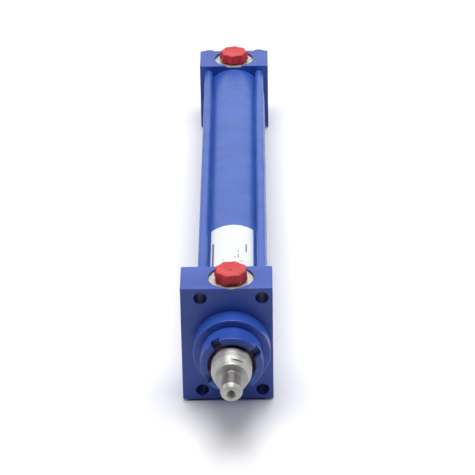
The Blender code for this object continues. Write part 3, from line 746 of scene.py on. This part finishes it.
def make_gland(paint, shaded):
    """Cartridge with a rounded rim and four spanner slots."""
    front, rear = GLAND_LOW.y, GLAND_HIGH.y
    seat = HEAD_LOW.y - 0.00004
    lip = 0.0005
    rod_hole = ROD_RADIUS + FIT_GAP
    rows = [
        (front + lip, MOUTH_RADIUS),
        (front, MOUTH_RADIUS + lip, 0.0001),
        (front, GLAND_RADIUS, 0.0008),
        (seat, GLAND_RADIUS, 0.0002),
        (seat, GLAND_BODY_RADIUS),
        (GLAND_BODY_END, GLAND_BODY_RADIUS),
        (GLAND_BODY_END, GLAND_NOSE_RADIUS),
        (rear, GLAND_NOSE_RADIUS),
        (rear, rod_hole),
        (MOUTH_END, rod_hole),
        (MOUTH_END, MOUTH_RADIUS),
    ]
    gland = coat(turned("gland_body", rounded(rows), loop=True), paint)
    low = (SLOT_INNER, front - OVERSHOOT, -SLOT_HALF_WIDTH)
    high = (SLOT_OUTER, front + SLOT_DEPTH, SLOT_HALF_WIDTH)
    steps = []
    for step in range(4):
        turn = Matrix.Rotation(-SLOT_FIRST_ANGLE - step * pi / 2, 4, "Y")
        slot = bevelled_block("slot", low, high, SLOT_EDGE, 2, turn)
        # The slot faces take the darker blue: painted shade for the depth of the slots.
        steps.append(("DIFFERENCE", coat(slot, shaded)))
    combine(gland, *steps)
    complete(gland, "barrel", "blue_paint", "gland")


def make_wiper(rubber):
    """Wiper ring with its lip on the rod, from the back round the front to the throat."""
    back, front = WIPER_BACK, WIPER_FRONT
    rows = [
        (back, 0.0116),
        (back, WIPER_RADIUS, 0.0003),
        (front + 0.0003, WIPER_RADIUS, 0.0005),
        (front - 0.0001, 0.0122, 0.0004),
        (front + 0.0004, 0.0118, 0.0003),
        (front - 0.0009, 0.0113, 0.0002),
        (front - 0.0004, 0.01106),
        (front + 0.0016, 0.0116),
    ]
    wiper = coat(turned("rod_wiper_body", rounded(rows), loop=True), rubber)
    complete(wiper, "barrel", "rubber", "rod_wiper", sharp=60)


def make_label(film, ink):
    """Printed film on top of the tube, with generic bars and rules and no lettering."""
    bars = [  # degrees round the tube, from and to, then millimetres along it, from and to
        (-34.2, -30.6, 17.9, 46.0),
        (22.3, 24.8, 32.0, 41.6),
        (9.3, 10.8, 30.3, 32.5),
        (9.6, 11.2, 24.0, 28.0),
        (4.3, 6.2, 23.3, 24.6),
        (-16.0, -14.0, 21.8, 23.0),
        (14.8, 16.6, 19.6, 21.0),
        (-22.0, -12.0, 11.0, 12.2),
        (-22.0, -6.0, 14.5, 15.5),
        (2.0, 20.0, 11.0, 17.0),
    ]
    wrap = LABEL_HALF_WRAP
    angles = {-wrap + 2 * wrap * i / LABEL_STEPS for i in range(LABEL_STEPS + 1)}
    places = {0.0, LABEL_LENGTH * 1000}
    for a0, a1, y0, y1 in bars:
        angles |= {a0, a1}
        places |= {y0, y1}
    angles, places = sorted(angles), sorted(places)
    inner = TUBE_RADIUS + LABEL_LIFT
    points, faces, inked = [], [], []
    for radius in (inner, inner + LABEL_THICKNESS):
        for y in places:
            for a in angles:
                askew = LABEL_SKEW * (a / wrap - 0.5)
                along = LABEL_START + y / 1000 + askew
                points.append((radius * sin(radians(a)), along, radius * cos(radians(a))))
    across, count = len(angles), len(angles) * len(places)
    for i in range(len(places) - 1):
        for j in range(across - 1):
            k = i * across + j
            under = (k, k + 1, k + across + 1, k + across)
            a, y = (angles[j] + angles[j + 1]) / 2, (places[i] + places[i + 1]) / 2
            dark = any(a0 < a < a1 and y0 < y < y1 for a0, a1, y0, y1 in bars)
            faces += [under, tuple(count + corner for corner in under)]
            inked += [0, 1 if dark else 0]
    rim = list(range(across))
    rim += [i * across + across - 1 for i in range(1, len(places))]
    rim += [(len(places) - 1) * across + j for j in range(across - 2, -1, -1)]
    rim += [i * across for i in range(len(places) - 2, 0, -1)]
    for one, two in zip(rim, rim[1:] + rim[:1]):
        faces.append((one, two, count + two, count + one))
        inked.append(0)
    mesh = bpy.data.meshes.new("type_label_film")
    mesh.from_pydata(points, [], faces)
    mesh.materials.append(film)
    mesh.materials.append(ink)
    mesh.polygons.foreach_set("material_index", inked)
    label = made_object("type_label_film", mesh)
    complete(label, "barrel", "label_film", "type_label")


# --- Moving pieces ------------------------------------------------------------------------------


def make_rod(chrome, turned_steel, thread_steel, dark_steel, shaded_steel):
    """Rod with centre hole, cut thread, relief, tapered neck and two spanner flats."""
    tip = ROD_LOW.y
    shoulder = tip + ROD_THREAD_LENGTH
    nose_end, relief = tip + ROD_NOSE_LENGTH, shoulder - ROD_RELIEF_LENGTH
    thread_start, taper_end = nose_end - 0.0002, shoulder + ROD_TAPER_LENGTH
    flat_end = shoulder + FLATS_LENGTH
    major, minor = ROD_THREAD_MAJOR, ROD_THREAD_MINOR
    seat = ROD_HIGH.y - PISTON_SEAT_LENGTH
    seat_end = seat + PISTON_SEAT_END
    rows = [
        (tip + CENTRE_HOLE_DEPTH, 0.0),
        (tip + 0.0044, CENTRE_HOLE_RADIUS),
        (tip + 0.0024, CENTRE_HOLE_RADIUS),
        (tip + 0.0002, 0.0024, 0.0002),
        (tip, 0.0027, 0.0002),
        (tip, ROD_NOSE_RADIUS, 0.0004),
        (nose_end, major - 0.0001, 0.0003),
        (nose_end + 0.0002, major),
        (relief - 0.0006, major),
        (relief, ROD_RELIEF_RADIUS, 0.0002),
        (shoulder, ROD_RELIEF_RADIUS, 0.0013),
        (shoulder, ROD_NECK_RADIUS, 0.0003),
        (taper_end, ROD_RADIUS, 0.0006),
        (seat, ROD_RADIUS, 0.0003),
        (seat, PISTON_SEAT_RADIUS),
        (seat_end, PISTON_SEAT_RADIUS),
        (seat_end, 0.0060),
        (ROD_HIGH.y, 0.0055, 0.0003),
        (ROD_HIGH.y, 0.0),
    ]
    rows = divided(rounded(rows), thread_start, relief, 0.0001)
    limit = thread(ROD_THREAD_PITCH, major, minor, thread_start, relief)
    rod = coat(turned("piston_rod_body", rows, limit=limit), chrome)
    steps = []
    for inner, outer in ((FLATS_HALF_ACROSS, 0.0120), (-0.0120, -FLATS_HALF_ACROSS)):
        low, high = (-0.015, shoulder - OVERSHOOT, inner), (0.015, flat_end, outer)
        turn = Matrix.Rotation(FLATS_TILT, 4, "Y")
        flat = bevelled_block("flat", low, high, 0.0002, 2, turn)
        steps.append(("DIFFERENCE", coat(flat, chrome)))
    combine(rod, *steps)

    def zone(centre):
        from_axis = (centre.x**2 + centre.z**2) ** 0.5
        if centre.y < tip + 0.0055 and from_axis < 0.00245:
            return 3
        if centre.y < nose_end + 0.0001:
            return 1
        if centre.y < shoulder - 0.0001:
            return 2
        # The step face at the end of the flats gets near-black steel: painted shade.
        if abs(centre.y - flat_end) < 0.00015:
            return 4
        return 1 if centre.y < taper_end + 0.0001 else 0

    zoned(rod, (chrome, turned_steel, thread_steel, dark_steel, shaded_steel), zone)
    complete(rod, "rod_assembly", "hard_chrome", "piston_rod", sharp=55)


def make_plug(name, node, port, turn, plastic):
    """Moulded eight-sided plug: dished top with a gate mark and a threaded hollow stem.

    Rows run from the stem's hollow round its end, up the thread and over the head to the gate mark.
    A row's third value is how far it follows the eight sides.
    """
    floor = port.z - SPOTFACE_DEPTH
    base, top, stem_end = floor + PLUG_BASE, floor + PLUG_TOP, floor - PLUG_STEM_LENGTH
    major, minor = PLUG_THREAD_MAJOR, PLUG_THREAD_MINOR
    flat, edge = PLUG_HALF_FLATS, PLUG_EDGE
    top_flat = flat - PLUG_TAPER
    hollow_top = floor + PLUG_HOLLOW_TOP
    rows = [(hollow_top, 0.0), (hollow_top, 0.0040), (hollow_top - 0.0004, 0.0044)]
    rows += [(stem_end + 0.0002, 0.0046), (stem_end, 0.0048), (stem_end, 0.0054)]
    stem = [(stem_end + 0.0008, major), (floor - 0.0006, major)]
    rows += divided(stem, stem_end, base, 0.00012)
    rows += [(floor - 0.0004, 0.0058), (base, 0.0058), (base, 0.0074), (base, flat - edge, 1.0)]
    for step in range(1, 5):
        swing = pi / 2 * step / 4
        rise = edge * (1 - cos(swing)) * 0.6
        rows.append((base + rise, flat - edge + edge * sin(swing), 1.0))
    for step in range(6):
        swing = pi / 2 * step / 5
        rows.append((top - edge + edge * sin(swing), top_flat - edge + edge * cos(swing), 1.0))
    rows += [(top, top_flat - 0.0011, 1.0), (top, 0.0062, 0.5), (top, 0.0056, 0.0)]
    dish_rim = top - 0.0001
    rows.append((dish_rim, PLUG_DISH_RADIUS))
    for share in (0.95, 0.85, 0.7, 0.5, 0.3, 0.2):
        rows.append((dish_rim - 0.00035 * (1 - share**2) ** 0.8, PLUG_DISH_RADIUS * share))
    rows += [(top - 0.00045, 0.0008), (top - 0.0002, 0.0006), (top - 0.0002, 0.0)]
    limit = thread(PORT_PITCH, major, minor, stem_end + 0.0004, floor - 0.0005)
    place = Matrix.Translation((port.x, port.y, 0)) @ UPRIGHT
    outline = polygon(8, 2 * flat, turn, 45, 0.04)
    plug = coat(turned(name, rows, FINE, place, limit, outline), plastic)
    complete(plug, node.replace("_port", ""), "red_plastic", node, sharp=40)


# --- Room, light and camera ---------------------------------------------------------------------


def make_floor():
    """Pale surface under the lowest edges of head and cap, so that it leans a little."""
    front = Vector((0, HEAD_REAR, HEAD_LOW.z))
    rear = Vector((0, CAP_REAR, CAP_LOW.z))
    lean = atan2(rear.z - front.z, rear.y - front.y)
    half, clearance = 6.0, 0.00005
    mesh = bpy.data.meshes.new("floor")
    outline = [(-half, -half, 0), (half, -half, 0), (half, half, 0), (-half, half, 0)]
    mesh.from_pydata(outline, [], [(0, 1, 2, 3)])
    floor = made_object("floor", mesh)
    floor.location = front - Vector((0, 0, clearance))
    floor.rotation_euler = (lean, 0, 0)
    n = Nodes("pale_floor", (0.88, 0.88, 0.89), 0.55)
    n.shader.inputs["Specular IOR Level"].default_value = 0.25
    coat(floor, n.material)


def make_area_light(name, place, aim, width, height, power):
    data = bpy.data.lights.new(name, "AREA")
    data.shape = "RECTANGLE"
    data.size, data.size_y = width, height
    data.energy = power
    light = bpy.data.objects.new(name, data)
    light.location = place
    light.rotation_euler = (Vector(aim) - Vector(place)).to_track_quat("-Z", "Y").to_euler()
    bpy.context.scene.collection.objects.link(light)


def make_lights():
    """A softbox overhead, a bright wall behind and a panel on each side for the floor in front."""
    middle = (0, (HEAD_FRONT + CAP_REAR) / 2, 0)
    front_floor = (0, HEAD_FRONT - 0.06, HEAD_LOW.z)
    lights = [
        ("key_overhead", (0.0, -0.14, 1.5), middle, 1.15, 1.15, 26),
        ("wall_behind", (0.0, 3.0, 1.6), middle, 4.0, 3.0, 45),
        ("side_panel", (-1.5, HEAD_FRONT + 0.1, 0.75), front_floor, 0.9, 0.9, 9),
        ("side_panel", (1.5, HEAD_FRONT + 0.1, 0.75), front_floor, 0.9, 0.9, 9),
    ]
    for name, place, aim, width, height, power in lights:
        make_area_light(name, place, aim, width, height, power)
    world = bpy.data.worlds.new("studio")
    world.use_nodes = True
    background = world.node_tree.nodes["Background"]
    background.inputs["Color"].default_value = (0.98, 0.99, 1.0, 1)
    background.inputs["Strength"].default_value = 0.035
    bpy.context.scene.world = world
    bpy.context.scene.view_settings.view_transform = "Standard"


def make_camera():
    """Long lens, looking down at the rod end from about 1.25 m away."""
    yaw, pitch, roll = radians(-0.65), radians(-28.54), radians(-0.99)
    forward = Vector((sin(yaw) * cos(pitch), cos(yaw) * cos(pitch), sin(pitch)))
    level = Vector((cos(yaw), -sin(yaw), 0))
    upward = level.cross(forward)
    right = level * cos(roll) + upward * sin(roll)
    up = upward * cos(roll) - level * sin(roll)
    data = bpy.data.cameras.new("camera")
    data.sensor_width = 36.0
    data.lens = 173.9
    data.clip_start, data.clip_end = 0.05, 20
    camera = bpy.data.objects.new("camera", data)
    bpy.context.scene.collection.objects.link(camera)
    turn = Matrix((right, up, -forward)).transposed().to_4x4()
    place = Vector((0.01621, HEAD_FRONT - 1.06894, 0.64763))
    camera.matrix_world = Matrix.Translation(place) @ turn
    bpy.context.scene.camera = camera


def finish_hidden_nodes():
    """Finishes of the CAD pieces that stay: seals, rings, bush and piston."""
    finishes = {
        "rubber": plain_grain("black_nitrile", (0.02, 0.02, 0.021), 0.55),
        "hard_seal": plain_grain("green_ptfe", (0.02, 0.09, 0.055), 0.45),
        "bronze": plain_grain("tin_bronze", (0.42, 0.22, 0.08), 0.35, 1.0),
        "machined_steel": plain_grain("turned_steel", (0.42, 0.41, 0.40), 0.34, 1.0),
    }
    for part in frame["record"]["subparts"]:
        node = frame["nodes"][part["node"]]
        if part["material_slot"] in finishes and not node.hide_render:
            node.data.materials.clear()
            node.data.materials.append(finishes[part["material_slot"]])


make_camera()
paint = blue_paint("blue_enamel", (0.020, 0.062, 0.345), (0.026, 0.079, 0.40))
# A lighter copy of the same blue enamel for the tube and tie rods: painted light.
lit_tube_paint = blue_paint("blue_enamel_painted_lighter", (0.026, 0.086, 0.38), (0.033, 0.105, 0.44))
# Near-black for the spotfaces' side walls: painted shade on what is bare steel.
wall = plain_grain("spotface_wall_painted_shade", (0.045, 0.05, 0.045), 0.5)
make_head(paint, bare_spotface(HEAD_PORT, "bare_head_spotface"), wall)
make_cap(paint, bare_spotface(CAP_PORT, "bare_cap_spotface"), wall)
make_tube(lit_tube_paint)
make_tie_rods(lit_tube_paint)
make_tie_rod_nuts(paint)
# The slots' darker blue is painted shade, not a second paint.
make_gland(paint, plain_grain("slot_painted_shade", (0.015, 0.04, 0.21), 0.45))
make_wiper(wiper_rubber())
make_label(label_film(), label_ink())
chrome = ground_steel("plated_rod", (0.56, 0.55, 0.55), 0.52, 0.64, 0.000003, 0.6)
turned_steel = ground_steel("turned_rod_end", (0.55, 0.545, 0.525), 0.50, 0.66, 0.000012, 0.4)
thread_steel = ground_steel("rod_thread", (0.40, 0.385, 0.40), 0.36, 0.50, 0.000004, 0.0)
dark_steel = plain_grain("centre_hole_steel", (0.62, 0.62, 0.54), 0.5, 0.3)
# Near-black for the flats' step face: painted shade.
shaded_steel = plain_grain("flat_step_painted_shade", (0.10, 0.10, 0.08), 0.5, 0.3)
make_rod(chrome, turned_steel, thread_steel, dark_steel, shaded_steel)
plastic = red_polyethylene()
make_plug("front_port_plug_body", "front_port_plug", HEAD_PORT, FRONT_PLUG_TURN, plastic)
make_plug("rear_port_plug_body", "rear_port_plug", CAP_PORT, REAR_PLUG_TURN, plastic)
finish_hidden_nodes()
make_floor()
make_lights()
